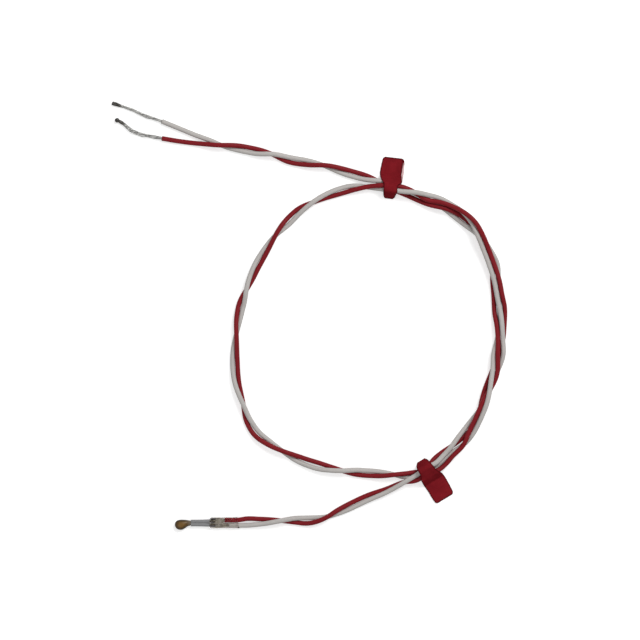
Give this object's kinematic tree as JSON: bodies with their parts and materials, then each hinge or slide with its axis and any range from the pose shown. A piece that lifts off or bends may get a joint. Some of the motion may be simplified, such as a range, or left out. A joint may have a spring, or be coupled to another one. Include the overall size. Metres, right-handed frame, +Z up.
{
  "type": "bead thermistor with twisted leads",
  "caption": "Resin bead temperature sensor spliced to a long twisted pair of red and white leads, coiled and held by folded tape ties, with stripped and tinned free ends.",
  "frame": {"origin": "under the middle of the sensor head, which is the bead, its two grey sleeves and the clear sleeve, on the surface it lies on", "axes": "+X along the head from the bead towards the leads, +Y across it towards the free ends, +Z up"},
  "size_m": [0.0985, 0.1069, 0.0047],
  "materials": {
    "sensor_ceramic": "matt sintered oxide",
    "silver_electrode": "fired silver",
    "solder": "dull solder, darkened by flux",
    "brown_resin": "glossy dipped resin",
    "tinned_wire": "tinned copper",
    "grey_sleeve": "satin",
    "clear_sleeve": "clear shrunk film",
    "red_insulation": "satin",
    "white_insulation": "satin",
    "red_tape": "satin vinyl"
  },
  "bodies": {
    "root": {"ntc_chip": "sensor_ceramic", "electrode_front": "silver_electrode", "electrode_back": "silver_electrode", "chip_solder_front": "solder", "chip_solder_back": "solder", "resin_bead": "brown_resin", "lead_front": "tinned_wire", "lead_back": "tinned_wire", "lead_sleeve_front": "grey_sleeve", "lead_sleeve_back": "grey_sleeve", "splice_solder_red": "solder", "splice_solder_white": "solder", "splice_strands_red": "tinned_wire", "splice_strands_white": "tinned_wire", "splice_sleeve": "clear_sleeve", "red_wire": "red_insulation", "white_wire": "white_insulation", "red_bare_strands": "tinned_wire", "white_bare_strands": "tinned_wire", "red_tinned_tip": "solder", "white_tinned_tip": "solder", "upper_tie": "red_tape", "lower_tie": "red_tape"}
  },
  "joints": []
}
